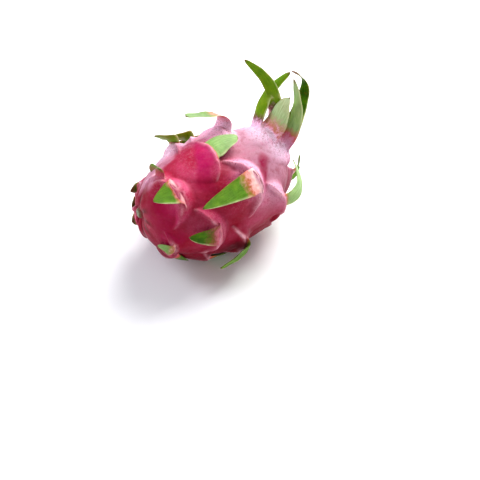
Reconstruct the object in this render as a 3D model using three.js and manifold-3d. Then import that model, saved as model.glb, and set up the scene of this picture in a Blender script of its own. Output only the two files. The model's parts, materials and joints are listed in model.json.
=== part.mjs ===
// A whole dragon fruit lying on its side, in millimetres, +Z up.
// The fruit's axis runs along +X, with the stem end at -X and the crown of bracts at +X.
// The origin is the middle of the small flat spot that the fruit rests on.
// Skin, scale bases, bracts, stem stub and navel grew as one piece, so they are one solid.
import * as THREE from 'three';
import { mergeVertices } from 'three/addons/utils/BufferGeometryUtils.js';
import Module from 'manifold-3d';

const wasm = await Module();
wasm.setup();

// ---- driving dimensions ----
const HALF_LENGTH = 60;         // stem end to middle, before the bracts
const RADIUS = 40.5;            // bare skin at the widest
const BLUNT_STEM = 0.66;        // exponent of the profile: smaller is blunter
const BLUNT_CROWN = 0.85;
const FLATTEN = 1;              // how far the flat spot cuts into the bare skin
const CENTRE_Z = RADIUS - FLATTEN;
const LIFT_STEM = 3;            // how far the ends of the axis bend upwards
const LIFT_CROWN = 5;
const BACK_STEM = 2;            // and towards +Y
const BACK_CROWN = -3;
const STEM_HOLLOW = { depth: 5, radius: 8, off: 15 };   // off: from the axis, towards +Y
const NAVEL = { depth: 7, radius: 10 };
const POLE_FADE = 0.22;         // radians at each end without scale relief
const STEM_FADE = 12;           // and the distance from the middle of the stem's hollow
const RELIEF_POWER = 5;         // how sharply overlapping scale bases meet
const LIP = 0.25;               // thin ridge along the axil, as a share of the base height
const SPOT_SMOOTH = { turn: 0.55, x: 34 };   // scale bases fade over the flat spot

const BODY_COLUMNS = 64;
const BODY_RINGS = 44;

const ROOT = 9;                 // length of a bract sunk into the fruit
const ROOT_DIVE = 32;           // degrees that the sunk root turns inwards
const BLADE_SIDES = 6;
const ROOT_RINGS = [-1, -0.33];         // as shares of the root's length
const FOLD_RINGS = [0, 0.33, 0.67, 1];  // as shares of the folding part
const TIP_RINGS = [0.2, 0.4, 0.6, 0.8, 1];   // as shares of the rest
const LONGEST_FOLD = 0.4;       // of a blade's length, where the fold's rings end
const BLADE_RINGS = ROOT_RINGS.length + FOLD_RINGS.length + TIP_RINGS.length - 1;
const ROOT_REACH = 12;          // how far a blade's root follows its scale base
const SPINE_STEPS = 8;          // integration steps between two rings
const BASE_THICKNESS = 3.2;
const LEAST_THICKNESS = 1.1;
const LEAST_HALF_WIDTH = 0.9;
const CUP = 0.12;
const WAIST_AT = 0.4;           // as a share of the length

const END_SIDES = 14;
const STUB = { radius: 4.2, length: 10, flare: 1.4, sunk: 0.6 };
const SCAR = { radius: 5, rim: 1.2, length: 5, sunk: 0.5 };

const GOLDEN_ANGLE = 137.5;
const SPIRAL = { first: -44, step: 4, count: 22, start: 315 };
const FAR_SIDE = { from: 103, to: 275 };
const UNDERSIDE = { from: 128, to: 232 };
const SPACING = 21;             // least distance between the roots of two bracts
const FAR_CROWN = { x: 56, count: 5, first: 112, step: 43 };
const SEED = 11;

const GROUND = 400;             // side of the block that cuts the flat spot
const COLORS = { skin: 0xd9265f };

// ---- the bracts, from the stem end to the crown ----
// x: where the bract leaves the skin; turn: degrees round the axis, 0 on top, 90 at -Y.
// rise: heading above the skin at the root and after the fold; sway: the same, sideways.
// fold: where along the blade it bends; curl: extra bend of the last part, in degrees.
// base: half width, length towards the stem and height of the scale base.
// sill: how far the skin past the axil stays raised; dip: hollow beside a folded blade.
// swell: how much the skin bulges up round a fold; foot: how far it does under the blade.
// waist: share of the width that is left once the blade has turned away.
const PLAIN = {
  lean: 0, sway: [0, 0], fold: [0, 1], curl: 0, twist: 0, taper: 0.5, sill: 3, dip: 0,
  swell: 0, foot: 4, waist: 1,
};
const FOLDED = { ...PLAIN, fold: [0, 0.33], taper: 0.6, sill: 12, dip: 0.55 };
const UPRIGHT = { ...PLAIN, fold: [0, 0.9], taper: 0.43 };

const SEEN_BRACTS = [
  { ...FOLDED, x: -44, turn: 262, length: 9, width: 13, rise: [10, 165], sway: [-30, -30],
    base: [12, 14, 3] },
  { ...FOLDED, x: -38.5, turn: 274, length: 10, width: 15, rise: [15, 150], sway: [-6, -6],
    base: [15, 18, 3.5] },
  { ...FOLDED, x: -50.5, turn: 241, length: 7, width: 13, rise: [5, 155], base: [16, 16, 3] },
  { ...FOLDED, x: -43, turn: 351.5, length: 22, width: 12, rise: [41, 150], sway: [-24, 43],
    fold: [0, 0.9], base: [16, 20, 4] },
  { ...FOLDED, x: -42.5, turn: 20.5, length: 24.5, width: 30, lean: 10, rise: [20, 172],
    sway: [4, -1], taper: 0.7, base: [20, 26, 4], swell: 4, waist: 0.85 },
  { ...FOLDED, x: -29.5, turn: 82.5, length: 32, width: 20, rise: [20, 172], sway: [-12, -21],
    fold: [0, 0.25], curl: 8, base: [22, 30, 4], swell: 4 },
  { ...FOLDED, x: -55, turn: 109, length: 16, width: 14, rise: [15, 195], sway: [0, 35],
    fold: [0, 0.3], base: [13, 13, 3.5] },
  { ...PLAIN, x: -52, turn: 136.5, length: 15, width: 12, rise: [-3, -14], sway: [25, 10],
    taper: 0.6, base: [14, 16, 3.5] },
  { ...PLAIN, x: -2.4, turn: 0.4, length: 22, width: 22, lean: 12, rise: [10, 12],
    sway: [-8, 26], taper: 0.42, base: [24, 46, 5] },
  { ...FOLDED, x: 8.6, turn: 50, length: 60, width: 22, rise: [22, 178], sway: [-4, -3],
    fold: [0, 0.16], curl: 8, taper: 0.66, base: [24, 42, 5], sill: 15, dip: 0.75, swell: 5.5 },
  { ...FOLDED, x: -10.3, turn: 311.3, length: 28, width: 16, rise: [50, 152], sway: [29, 28],
    fold: [0, 0.45], taper: 0.5, base: [20, 34, 4], swell: 3, foot: 8 },
  { ...FOLDED, x: 10.5, turn: 294, length: 24, width: 15, rise: [44, 176], sway: [25, 23],
    fold: [0, 0.4], taper: 0.45, base: [20, 34, 4] },
  { ...FOLDED, x: 19.2, turn: 340, length: 43, width: 27, rise: [40, 167], sway: [-4, -2],
    fold: [0, 0.45], twist: 9, taper: 0.2, base: [20, 40, 4], sill: 15, swell: 1.5, foot: 8,
    waist: 0.5 },
  { ...FOLDED, x: 27.5, turn: 88, length: 47, width: 12, rise: [22, -62], sway: [16, -30],
    fold: [0, 1], twist: 32, taper: 0.42, base: [20, 40, 5.5], swell: 3, foot: 10 },
  // the crown
  { ...UPRIGHT, x: 51, turn: 3.3, length: 39, width: 24, rise: [90, 140], sway: [-7, 32],
    taper: 0.85, base: [15, 36, 5] },
  { ...UPRIGHT, x: 54.5, turn: 33, length: 56, width: 13, rise: [108, 147], sway: [-24, -48],
    base: [13, 36, 5] },
  { ...UPRIGHT, x: 55, turn: 28.7, length: 66, width: 15, rise: [83, 77], sway: [-25, -47],
    curl: 147, twist: -8, taper: 0.6, base: [10, 30, 4] },
  { ...UPRIGHT, x: 49, turn: 338, length: 52, width: 12, rise: [103, 81], sway: [4, 45],
    twist: -20, base: [11, 30, 3.5] },
  { ...UPRIGHT, x: 57, turn: 339.5, length: 78.5, width: 13, rise: [141, 201], sway: [18, 5.5],
    twist: -50, base: [9, 30, 3.5] },
];

const radians = THREE.MathUtils.degToRad;
const clamp = THREE.MathUtils.clamp;

function smooth(value) {
  const t = clamp(value, 0, 1);
  return t * t * (3 - 2 * t);
}

// Repeatable draws from 0 to 1.
function drawsFrom(seed) {
  let state = seed;
  return () => {
    state = (state * 1664525 + 1013904223) % 4294967296;
    return state / 4294967296;
  };
}

// ---- the skin ----
// polar: 0 at the stem end, PI at the crown; turn: radians round the axis, 0 on top.
function girth(polar) {
  const blunt = (BLUNT_STEM + BLUNT_CROWN) / 2 - (BLUNT_CROWN - BLUNT_STEM) / 2 * Math.cos(polar);
  return RADIUS * Math.max(Math.sin(polar), 1e-9) ** blunt;
}

function bareSkin(polar, turn) {
  const along = -HALF_LENGTH * Math.cos(polar);
  const r = girth(polar);
  const bend = (along / HALF_LENGTH) ** 2;
  const lift = along > 0 ? LIFT_CROWN : LIFT_STEM;
  const back = along > 0 ? BACK_CROWN : BACK_STEM;
  const y = back * bend - r * Math.sin(turn);
  const z = CENTRE_Z + lift * bend + r * Math.cos(turn);
  const hollow = along < 0
    ? STEM_HOLLOW.depth * Math.exp(-((fromStem(y, z) / STEM_HOLLOW.radius) ** 2))
    : -NAVEL.depth * Math.exp(-((r / NAVEL.radius) ** 2));
  return new THREE.Vector3(along + hollow, y, z);
}

// How far a point is from the middle of the stem's hollow, seen along the axis.
function fromStem(y, z) {
  return Math.hypot(y - BACK_STEM - STEM_HOLLOW.off, z - CENTRE_Z - LIFT_STEM);
}

function polarAt(x) {
  return Math.acos(clamp(-x / HALF_LENGTH, -1, 1));
}

// The point, the directions towards the crown and round the axis, and the outward normal.
function skinFrame(polar, turn) {
  const d = 1e-3;
  const point = bareSkin(polar, turn);
  const crownward = bareSkin(polar + d, turn).sub(bareSkin(polar - d, turn)).normalize();
  const around = bareSkin(polar, turn + d).sub(bareSkin(polar, turn - d)).normalize();
  const outward = around.clone().cross(crownward).normalize();
  return { point, crownward, around, outward };
}

// Length of the skin from the stem end to a polar angle.
const ARC_STEPS = 400;
const arcTable = [0];
for (let i = 1; i <= ARC_STEPS; i += 1) {
  const [a, b] = [(i - 1) * Math.PI / ARC_STEPS, i * Math.PI / ARC_STEPS];
  const run = HALF_LENGTH * (Math.cos(a) - Math.cos(b));
  arcTable.push(arcTable[i - 1] + Math.hypot(run, girth(b) - girth(a)));
}

function arcTo(polar) {
  const place = clamp(polar / Math.PI, 0, 1) * ARC_STEPS;
  const low = Math.min(Math.floor(place), ARC_STEPS - 1);
  return arcTable[low] + (arcTable[low + 1] - arcTable[low]) * (place - low);
}

// Height of one bract's scale base: a kite with an arched axil, pointed towards the stem.
function scaleBase(bract, polar, turn) {
  const [halfWidth, length, height] = bract.base;
  const rootPolar = polarAt(bract.x);
  const apart = THREE.MathUtils.euclideanModulo(
    turn - radians(bract.turn) + Math.PI, 2 * Math.PI) - Math.PI;
  const alongSkin = arcTo(polar) - arcTo(rootPolar);
  const acrossSkin = apart * (girth(polar) + girth(rootPolar)) / 2;
  const lean = radians(bract.lean) / 2;
  const along = alongSkin * Math.cos(lean) + acrossSkin * Math.sin(lean);
  const across = -alongSkin * Math.sin(lean) + acrossSkin * Math.cos(lean);
  const behind = -along - across ** 2 / (2.2 * halfWidth);
  const stemSide = clamp(1 - behind / length, 0, 1) ** 1.5;
  const crownSide = 1 - smooth(-behind / bract.sill);
  const flank = smooth((Math.abs(across) - 0.42 * bract.width) / 5);
  const hollow = bract.dip * flank * smooth(behind / 1.6) * Math.exp(-Math.max(behind, 0) / 14);
  const level = (behind > 0 ? stemSide : crownSide) * (1 - hollow);
  const narrowing = 1 - 0.85 * clamp(behind / length, 0, 1) ** 1.2;
  const side = clamp(1 - (across / (halfWidth * narrowing)) ** 2, 0, 1) ** 0.8;
  const ends = Math.sqrt(clamp(1 - (across / halfWidth) ** 2, 0, 1));
  const lip = LIP * Math.exp(-((behind / 1.6) ** 2)) * ends;
  const over = 1 - smooth(behind > 0 ? behind / bract.foot : -behind / bract.sill);
  const bulge = bract.swell * over * clamp(1 - (across / (0.8 * bract.width)) ** 2, 0, 1);
  return height * (level * side + lip) + bulge;
}

function relief(bracts, polar, turn, point) {
  let total = 0;
  for (const bract of bracts) total += scaleBase(bract, polar, turn) ** RELIEF_POWER;
  const fromPole = Math.min(polar, Math.PI - polar);
  const fromBelow = Math.abs(THREE.MathUtils.euclideanModulo(turn, 2 * Math.PI) - Math.PI);
  const alongX = Math.abs(HALF_LENGTH * Math.cos(polar));
  const spot = (1 - smooth(fromBelow / SPOT_SMOOTH.turn)) * (1 - smooth(alongX / SPOT_SMOOTH.x));
  const atStem = point.x < 0 ? smooth(fromStem(point.y, point.z) / STEM_FADE) : 1;
  return total ** (1 / RELIEF_POWER) * smooth(fromPole / POLE_FADE) * atStem * (1 - spot);
}

function skinGeometry(bracts) {
  const geometry = new THREE.SphereGeometry(1, BODY_COLUMNS, BODY_RINGS);
  const position = geometry.attributes.position;
  for (let i = 0; i < position.count; i += 1) {
    // The sphere's poles, on its Y axis, become the stem end and the crown.
    const unit = new THREE.Vector3().fromBufferAttribute(position, i).normalize();
    const polar = Math.acos(clamp(unit.y, -1, 1));
    const turn = Math.atan2(-unit.x, unit.z);
    const atPole = Math.min(polar, Math.PI - polar) < 1e-4;
    const { point, outward } = skinFrame(clamp(polar, 1e-3, Math.PI - 1e-3), atPole ? 0 : turn);
    const height = atPole ? 0 : relief(bracts, polar, turn, point);
    position.setXYZ(i, ...point.addScaledVector(outward, height));
  }
  return geometry;
}

// ---- the bracts ----
// Direction along the blade and across it at a distance from where it leaves the skin.
function bladeFrame(bract, frame, distance) {
  const part = clamp(distance / bract.length, 0, 1);
  const lean = radians(bract.lean);
  const ahead = frame.crownward.clone().multiplyScalar(Math.cos(lean))
    .addScaledVector(frame.around, Math.sin(lean));
  const sideways = frame.crownward.clone().multiplyScalar(-Math.sin(lean))
    .addScaledVector(frame.around, Math.cos(lean));
  const bent = smooth((part - bract.fold[0]) / (bract.fold[1] - bract.fold[0]));
  let heading = bract.rise[0] + (bract.rise[1] - bract.rise[0]) * bent
    + bract.curl * smooth((part - 0.55) / 0.45);
  let sway = bract.sway[0] + (bract.sway[1] - bract.sway[0]) * smooth(part);
  if (distance < 0) {
    heading = bract.rise[0] - distance / ROOT * ROOT_DIVE;
    sway *= 1 + distance / ROOT;
  }
  const [h, s] = [radians(heading), radians(sway)];
  const flat = ahead.clone().multiplyScalar(Math.cos(h)).addScaledVector(frame.outward, Math.sin(h));
  const tangent = flat.clone().multiplyScalar(Math.cos(s)).addScaledVector(sideways, Math.sin(s));
  const across = flat.clone().multiplyScalar(-Math.sin(s)).addScaledVector(sideways, Math.cos(s));
  const back = ahead.clone().multiplyScalar(-Math.sin(h)).addScaledVector(frame.outward, Math.cos(h));
  const twist = radians(bract.twist) * smooth(1.6 * part);
  return {
    tangent,
    across: across.clone().multiplyScalar(Math.cos(twist)).addScaledVector(back, Math.sin(twist)),
    back: back.clone().multiplyScalar(Math.cos(twist)).addScaledVector(across, -Math.sin(twist)),
  };
}

// Points of the blade's middle line at the given distances.
function bladeSpine(bract, frame, distances) {
  const points = [new THREE.Vector3()];
  for (let i = 1; i < distances.length; i += 1) {
    const point = points[i - 1].clone();
    const step = (distances[i] - distances[i - 1]) / SPINE_STEPS;
    for (let k = 0; k < SPINE_STEPS; k += 1) {
      const middle = distances[i - 1] + (k + 0.5) * step;
      point.addScaledVector(bladeFrame(bract, frame, middle).tangent, step);
    }
    points.push(point);
  }
  return points;
}

// Bends a blade's root so that it follows the arch of its scale base.
function rootShift(bract, frame, distance, off) {
  const [halfWidth, , height] = bract.base;
  const reach = Math.min(ROOT_REACH, bract.length / 2);
  const share = 1 - smooth(Math.max(distance, 0) / reach);
  const edge = 1 - clamp(1 - (off / halfWidth) ** 2, 0, 1) ** 0.8;
  const drop = share * (off ** 2 / (2 * girth(polarAt(bract.x))) + height * edge);
  const slide = share * off ** 2 / (2.2 * halfWidth);
  return frame.outward.clone().multiplyScalar(-drop).addScaledVector(frame.crownward, -slide);
}

function bladeGeometry(bract) {
  const frame = skinFrame(polarAt(bract.x), radians(bract.turn));
  const folding = Math.min(bract.fold[1], LONGEST_FOLD) * bract.length;
  const distances = [
    ...ROOT_RINGS.map((share) => share * ROOT),
    ...FOLD_RINGS.map((share) => share * folding),
    ...TIP_RINGS.map((share) => folding + share * (bract.length - folding)),
  ];
  // The line is laid out from its sunk end, then moved so that distance 0 is at the axil.
  const spine = bladeSpine(bract, frame, distances);
  const toAxil = bladeSpine(bract, frame, [-ROOT, 0])[1];
  const axil = frame.point.clone()
    .addScaledVector(frame.outward, bract.base[2] - BASE_THICKNESS / 2);
  const geometry = new THREE.CylinderGeometry(1, 1, BLADE_RINGS, BLADE_SIDES, BLADE_RINGS);
  const position = geometry.attributes.position;
  for (let i = 0; i < position.count; i += 1) {
    const ring = Math.round(position.getY(i) + BLADE_RINGS / 2);
    const distance = distances[ring];
    const part = clamp(distance / bract.length, 0, 1);
    const { across, back } = bladeFrame(bract, frame, distance);
    const taper = (1 - part ** 1.15) ** bract.taper * (1 + 0.1 * Math.min(distance, 0) / ROOT);
    const waist = 1 - (1 - bract.waist) * smooth(part / WAIST_AT);
    const halfWidth = Math.max(bract.width / 2 * taper * waist, LEAST_HALF_WIDTH);
    const thickness = BASE_THICKNESS * (1 - 0.62 * smooth(2.2 * part)) * (1 - 0.35 * part);
    const side = -position.getZ(i);
    const face = position.getX(i);
    const cup = -CUP * smooth(3 * part) * halfWidth * side ** 2;
    const point = axil.clone().sub(toAxil).add(spine[ring])
      .addScaledVector(across, halfWidth * side)
      .addScaledVector(back, Math.max(thickness, LEAST_THICKNESS) / 2 * face + cup)
      .add(rootShift(bract, frame, distance, halfWidth * side));
    position.setXYZ(i, ...point);
  }
  return geometry;
}

// ---- bracts on the far side and underneath, on the same spiral ----
function rootPoint(bract) {
  return bareSkin(polarAt(bract.x), radians(bract.turn));
}

function spiralBract(x, turn, draw) {
  const small = 1 - 0.5 * Math.max(0, -x / HALF_LENGTH) ** 1.5;
  const draws = [draw(), draw(), draw(), draw(), draw()];
  if (turn > UNDERSIDE.from && turn < UNDERSIDE.to) {
    return {
      ...PLAIN, x, turn, length: 26 * small, width: 18 * small, rise: [2, -8],
      base: [20 * small, 34 * small, 4],
    };
  }
  return {
    ...FOLDED, x, turn, length: (30 + 12 * draws[0]) * small, width: (18 + 4 * draws[1]) * small,
    lean: -10 + 20 * draws[2], rise: [25, 160 + 14 * draws[3]], fold: [0, 0.2 + 0.2 * draws[4]],
    curl: 8, taper: 0.55, base: [21 * small, 38 * small, 4.2], swell: 3,
  };
}

function onSpot({ x, turn }) {
  return Math.abs(x) < SPOT_SMOOTH.x && Math.abs(radians(turn - 180)) < SPOT_SMOOTH.turn;
}

function spiralBracts(taken, draw) {
  const found = [];
  for (let k = 0; k < SPIRAL.count; k += 1) {
    const x = SPIRAL.first + SPIRAL.step * k;
    const turn = (SPIRAL.start + GOLDEN_ANGLE * k) % 360;
    const bract = spiralBract(x, turn, draw);
    const near = [...taken, ...found].some(
      (other) => rootPoint(other).distanceTo(rootPoint(bract)) < SPACING);
    const farSide = turn > FAR_SIDE.from && turn < FAR_SIDE.to;
    if (farSide && !near && !onSpot(bract)) found.push(bract);
  }
  return found;
}

// The lower bracts of the crown are shorter and lean over the navel.
function crownBracts(draw) {
  return Array.from({ length: FAR_CROWN.count }, (_, k) => ({
    ...UPRIGHT, x: FAR_CROWN.x - 2 * (k % 2), turn: FAR_CROWN.first + FAR_CROWN.step * k,
    length: 18 + 8 * draw(), width: 12, sway: [0, -14 + 28 * draw()],
    rise: [70 + 8 * draw(), 14 + 24 * draw()], base: [12, 30, 4],
  }));
}

// ---- the stem stub in its hollow, and the scar of the flower in the navel ----
function stubProfile() {
  const { radius, length, flare } = STUB;
  return [
    [0, 0], [radius + flare, 0], [radius, length * 0.35], [radius * 0.94, length * 0.85],
    [radius * 0.8, length], [0, length - 0.6],
  ];
}

function scarProfile() {
  const { radius, rim, length } = SCAR;
  return [
    [0, 0], [radius + rim, 0], [radius, length * 0.6], [radius - rim, length],
    [radius - 2 * rim, length * 0.8], [0, length * 0.7],
  ];
}

// The middle of the hollow at an end of the fruit, as a frame of the skin.
function stemFrame() {
  return skinFrame(Math.asin((STEM_HOLLOW.off / RADIUS) ** (1 / BLUNT_STEM)), radians(270));
}

function crownFrame() {
  return skinFrame(Math.PI - 1e-3, 0);
}

// A turned piece that stands in the hollow at an end of the fruit.
function endGeometry(profile, { length, sunk }, { point, outward }) {
  const geometry = new THREE.LatheGeometry(
    profile.map(([r, h]) => new THREE.Vector2(r, h)), END_SIDES);
  const up = new THREE.Vector3(0, 1, 0);
  geometry.applyQuaternion(new THREE.Quaternion().setFromUnitVectors(up, outward));
  return geometry.translate(...point.clone().addScaledVector(outward, -length * sunk));
}

// ---- joining and cutting ----
function toSolid(geometry) {
  const bare = geometry.clone();
  bare.deleteAttribute('normal');
  bare.deleteAttribute('uv');
  const merged = mergeVertices(bare, 1e-5);
  return new wasm.Manifold(new wasm.Mesh({
    numProp: 3,
    vertProperties: new Float32Array(merged.attributes.position.array),
    triVerts: new Uint32Array(merged.index.array),
  }));
}

function toGeometry(solid) {
  const mesh = solid.getMesh();
  const geometry = new THREE.BufferGeometry();
  geometry.setAttribute('position', new THREE.BufferAttribute(mesh.vertProperties, 3));
  geometry.setIndex(new THREE.BufferAttribute(mesh.triVerts, 1));
  geometry.computeVertexNormals();
  return geometry;
}

function fruitMesh() {
  const draw = drawsFrom(SEED);
  const bracts = [...SEEN_BRACTS, ...crownBracts(draw)];
  bracts.push(...spiralBracts(bracts, draw));
  const pieces = [
    skinGeometry(bracts),
    endGeometry(stubProfile(), STUB, stemFrame()),
    endGeometry(scarProfile(), SCAR, crownFrame()),
    ...bracts.map(bladeGeometry),
  ];
  const whole = pieces.map(toSolid).reduce((joined, solid) => joined.add(solid));
  const ground = new THREE.BoxGeometry(GROUND, GROUND, GROUND).translate(0, 0, -GROUND / 2);
  const solid = whole.subtract(toSolid(ground));
  const material = new THREE.MeshStandardMaterial({
    color: COLORS.skin, roughness: 0.45, metalness: 0,
  });
  const mesh = new THREE.Mesh(toGeometry(solid), material);
  mesh.name = 'fruit';
  return mesh;
}

const dragonFruit = new THREE.Group();
dragonFruit.add(fruitMesh());

export default dragonFruit;
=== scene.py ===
"""A whole dragon fruit lying on its side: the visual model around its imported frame.

Shapes are in millimetres and in the part's frame: the fruit's axis along X with the
stem at -X and the crown at +X, +Z up, and the origin in the middle of the small flat
spot that it rests on. Meshes are in metres.
"""
import json
import math

import bmesh
import bpy
import numpy as np
from mathutils import Matrix, Vector
from mathutils.kdtree import KDTree

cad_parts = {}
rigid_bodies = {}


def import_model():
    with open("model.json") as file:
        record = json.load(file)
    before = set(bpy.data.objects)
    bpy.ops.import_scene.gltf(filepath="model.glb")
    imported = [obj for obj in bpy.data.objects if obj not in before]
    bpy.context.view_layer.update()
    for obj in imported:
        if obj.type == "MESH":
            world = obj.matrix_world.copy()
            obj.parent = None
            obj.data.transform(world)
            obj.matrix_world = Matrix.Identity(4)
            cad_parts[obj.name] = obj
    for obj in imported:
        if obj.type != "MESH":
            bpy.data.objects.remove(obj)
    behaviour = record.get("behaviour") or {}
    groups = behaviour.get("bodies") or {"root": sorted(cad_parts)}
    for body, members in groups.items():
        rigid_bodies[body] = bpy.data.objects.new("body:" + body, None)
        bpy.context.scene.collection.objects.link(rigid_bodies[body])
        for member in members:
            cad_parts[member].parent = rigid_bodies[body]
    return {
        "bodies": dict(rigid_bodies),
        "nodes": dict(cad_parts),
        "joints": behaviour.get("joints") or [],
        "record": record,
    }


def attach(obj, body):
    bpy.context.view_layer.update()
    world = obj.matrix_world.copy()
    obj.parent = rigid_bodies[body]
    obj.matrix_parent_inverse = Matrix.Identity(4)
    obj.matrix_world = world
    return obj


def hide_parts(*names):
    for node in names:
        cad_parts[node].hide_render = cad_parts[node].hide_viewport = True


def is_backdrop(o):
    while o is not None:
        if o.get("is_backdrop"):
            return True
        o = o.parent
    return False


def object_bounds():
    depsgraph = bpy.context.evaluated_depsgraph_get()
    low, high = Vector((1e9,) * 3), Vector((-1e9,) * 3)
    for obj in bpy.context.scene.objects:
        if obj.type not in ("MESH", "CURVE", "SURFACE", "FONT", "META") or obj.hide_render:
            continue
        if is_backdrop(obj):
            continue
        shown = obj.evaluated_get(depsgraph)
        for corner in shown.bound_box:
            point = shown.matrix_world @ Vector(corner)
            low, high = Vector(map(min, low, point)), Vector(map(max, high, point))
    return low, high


MM = 0.001

# ---- the fruit's dimensions, as in the part
HALF_LENGTH = 60
RADIUS = 40.5
BLUNT_STEM, BLUNT_CROWN = 0.66, 0.85
FLATTEN = 1
CENTRE_Z = RADIUS - FLATTEN
LIFT_STEM, LIFT_CROWN = 3, 5
BACK_STEM, BACK_CROWN = 2, -3
STEM_HOLLOW = dict(depth=5, radius=8, off=15)
NAVEL = dict(depth=7, radius=10)
POLE_FADE = 0.22
STEM_FADE = 12
RELIEF_POWER = 5
LIP = 0.25
SPOT_TURN, SPOT_X = 0.55, 34
ROOT, ROOT_DIVE = 9, 32
BASE_THICKNESS, LEAST_THICKNESS = 3.2, 0.9
LEAST_HALF_WIDTH = 0.45
CUP = 0.12
WAIST_AT = 0.4
STUB = dict(radius=4.2, length=10, flare=1.4, sunk=0.6)
SCAR = dict(radius=5, rim=1.2, length=5, sunk=0.5)
GOLDEN_ANGLE = 137.5
SEED = 11
DRAW_FACTOR, DRAW_STEP, DRAW_RANGE = 1664525, 1013904223, 2 ** 32
WAVE_COUNT = 9

# ---- what this script adds to the skin: fine relief in mm, and zones of colour, painted light and shade among them
# Waves have a height, a wavelength in mm and a seed.
UNEVENNESS = ((0.45, 26, 3), (0.16, 9, 4), (0.06, 4, 5))
RIDGE_WANDER = (0.9, 13, 8)  # how the pale ridge along an axil strays from it
RIDGE_WHOLE, RIDGE_GAPS = 0.6, (0.5, 17, 9)  # how much of the ridge is left
STEM_FOLDS = dict(count=10, middle=11, reach=8, height=0.7, shade=0.6,
                  waves=(1.3, 30, 6))
PATCH_WAVES = (0.25, 11, 12)  # height as a share of the patch's reach
PATCH_FADE = (0.4, 0.8)  # shares of its reach: full colour, and fading
CRACK_START, CRACK_END = (-0.5, 0.5), (-5, 2)  # ramps at both ends of an open axil
CALM_POLE, CALM_BELOW = 0.3, (0.2, 0.4)  # radians in which the unevenness fades
# Ramps, by start and length: along X in mm, and by how far the skin faces upward. The skin is
# paler towards the crown with painted highlight where it faces upward, and has painted shade
# where it faces downward.
WAX_ALONG, SHEEN_UPWARD = (-12, 48), (-0.35, 1.1)
UNDERSIDE_FADE = (-0.6, 1.3)
UNDER_SHADE = 0.85  # how strong the painted shade on the underside is
# How strong the patches of painted reflection are.
SHEEN_PATCH_SHARE = 0.8
# Patches of colour along lines on the skin: x and turn of both ends, and reach in mm.
MAGENTA_PATCHES = [((-56, 33), (-57, 85), 13), ((-2, 352), (-22, 26), 8),
                   ((30, 37), (15, 60), 5)]
# The sheen patches are painted reflection on the skin.
SHEEN_PATCHES = [((-42, 322), (0, 312), 13)]

# ---- the form of a scale base, in mm or as a share of its own size
AXIL_BOW = 2.2  # how flat the arch of the axil is
KITE = dict(power=1.5, narrowing=0.85, narrowing_power=1.2, side_power=0.8)
HOLLOW = dict(flank=0.42, blend=5, start=1.6, reach=14)  # beside a folded blade
BULGE_WIDTH = 0.8
LIP_WIDTH = 1.6
RIDGE = dict(reach=1.35, fade=0.5, at=-0.6, width=1.3, height=0.45)
GROOVE = dict(reach=0.62, at=-1.8, width=1.6, depth=0.8, shade=0.6)
SHADOW = dict(flank=0.36, blend=4, start=1.5, reach=9)  # painted shadow in that hollow
BARE_SHADE, BARE_BELOW = 0.55, 3  # how strong the painted shade is where the relief is low

# ---- the form of a blade, as shares of its length and of half its width
TIP_POWER = 1.15
SUNK_NARROWING = 0.1
THINNING = dict(quick=0.62, by=2.2, slow=0.35)
CREASE_DEPTH, CREASE_WIDTH = 0.3, 0.14
EDGE_WAVE = dict(height=0.5, length=17, shift=2.4, slant=1.2)
CURL = (0.55, 0.45)
ROOT_REACH = 12  # mm over which its root follows the scale base
MARGIN = (0.8, 0.18)  # where its margin starts, and how soon it is full
INNER_FACE = 0.35
STREAK_SHIFT = 40  # mm that set the streaks of two bracts apart

# ---- how finely the surface is cut
SKIN_COLUMNS, SKIN_RINGS = 330, 190
BLADE_SIDES, BLADE_RINGS = 18, 46
RING_CROWDING = 1.35
END_SIDES = 48

# ---- the photograph's view
FRAME_PIXELS = 480
VIEW_AZIMUTH, VIEW_ELEVATION = -42, 43.7
VIEW_LENS, VIEW_SENSOR = 100, 36
VIEW_DISTANCE = 979
BODY_PIXEL = (213.6, 193.4)  # where the middle of the body stands in the frame

# ---- the bracts, in mm and degrees
# x: where it leaves the skin; turn: round the axis, 0 on top, 90 at -Y.
# rise: heading above the skin at the root and after the fold; sway: the same, sideways.
# fold: where along the blade it bends; curl: extra bend of the last part.
# base: half width, length towards the stem and height of the scale base.
# sill: how far the skin past the axil stays raised; dip: hollow beside a folded blade.
# swell: bulge of the skin round a fold; foot: how far it goes on under the blade.
# waist: share of the width that is left once the blade has turned away.
# blush: how far along it the skin's pink reaches; fade: length over which it turns green.
# plum: how purple it is there; cream: how pale inside the fold; flush: how magenta its
# base is. crack: how open the axil is. tone: 0 deep green to 1 yellow green; bloom:
# whitish wax; dry: share that is brown.
PLAIN = dict(lean=0, sway=(0, 0), fold=(0, 1), curl=0, twist=0, taper=0.5, sill=3, dip=0,
             swell=0, foot=4, waist=1, blush=5, fade=16, plum=0.15, cream=1, crack=0.4,
             tone=0.45, bloom=0.08, dry=0.04, flush=0)
FOLDED = {**PLAIN, "fold": (0, 0.33), "taper": 0.6, "sill": 12, "dip": 0.55}
UPRIGHT = {**PLAIN, "fold": (0, 0.9), "taper": 0.43}


def grow(kind, x, turn, length, width, rise, base, **more):
    """One bract of a kind, with what sets it apart."""
    return {**kind, "x": x, "turn": turn, "length": length, "width": width,
            "rise": rise, "base": base, **more}


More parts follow.
